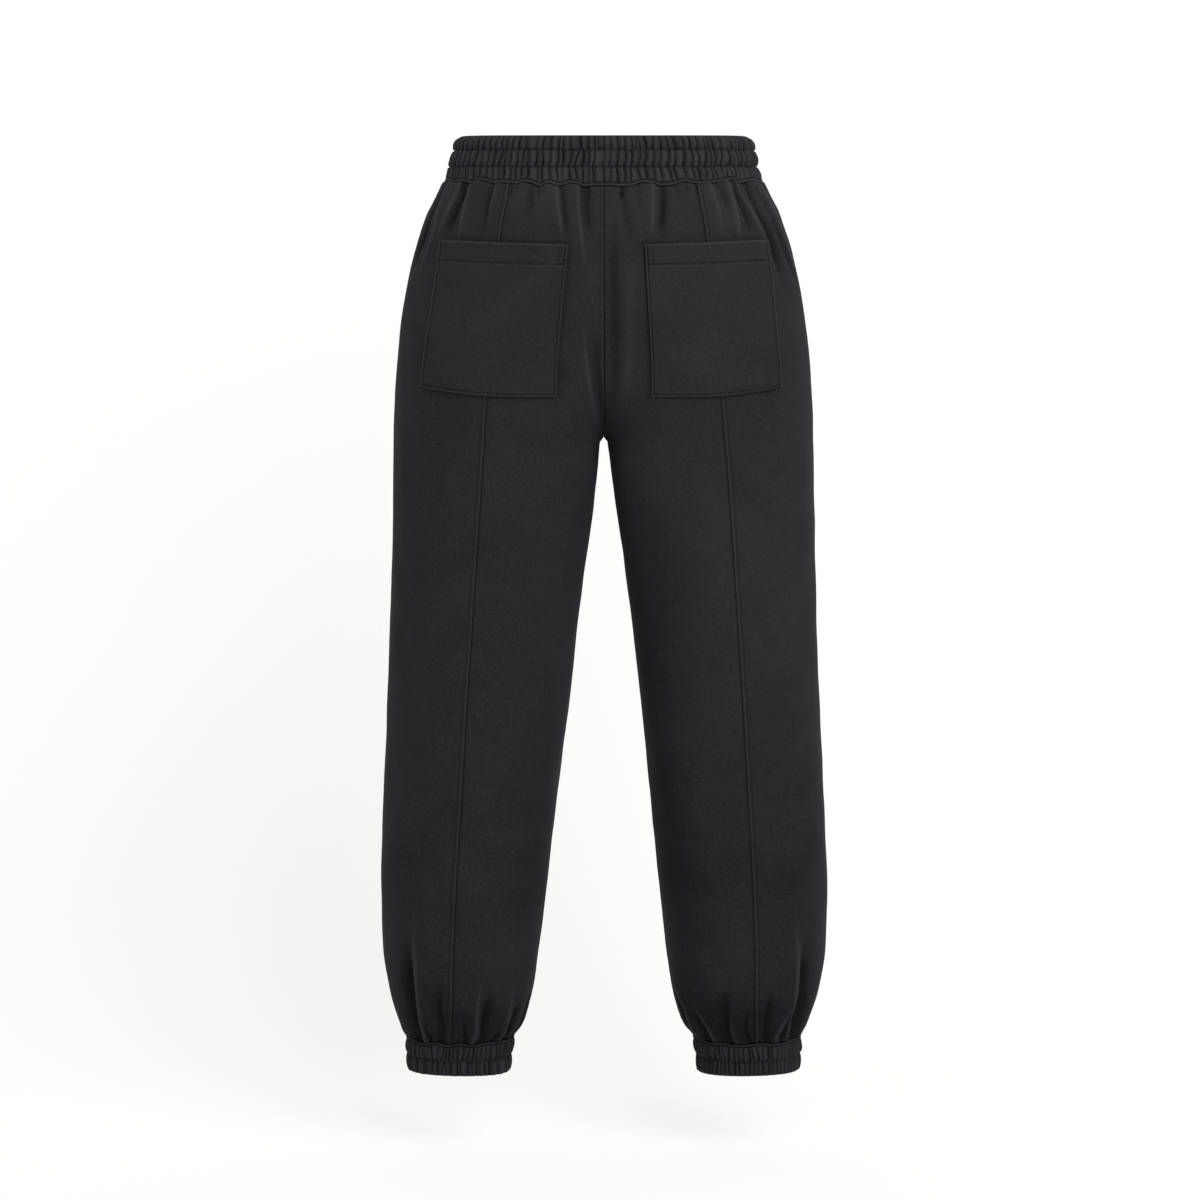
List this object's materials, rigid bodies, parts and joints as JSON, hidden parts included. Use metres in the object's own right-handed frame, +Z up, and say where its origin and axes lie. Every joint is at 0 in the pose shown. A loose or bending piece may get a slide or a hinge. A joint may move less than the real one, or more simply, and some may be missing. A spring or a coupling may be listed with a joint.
{
  "type": "jogger sweatpants",
  "caption": "Elastic-waist jogger sweatpants in heavy fleece, hollow and filled out as if worn, with patch pockets on the seat and gathered ankle cuffs.",
  "frame": {"origin": "centre of the waist opening, at the middle of the elastic waistband's height, where a wearer's waist holds the trousers up", "axes": "+Z up, +Y to the garment's front, +X to the wearer's right; the pockets are on the seat, at -Y"},
  "size_m": [0.4734, 0.2837, 0.9916],
  "materials": {
    "fleece": "matt brushed fleece, washed black",
    "gathered_fleece": "matt fleece gathered over elastic, washed black"
  },
  "bodies": {
    "root": {"waistband": "gathered_fleece", "back_inner_left": "fleece", "back_outer_left": "fleece", "back_inner_right": "fleece", "back_outer_right": "fleece", "front_left": "fleece", "front_right": "fleece", "pocket_left": "fleece", "pocket_right": "fleece", "cuff_left": "gathered_fleece", "cuff_right": "gathered_fleece"}
  },
  "joints": []
}
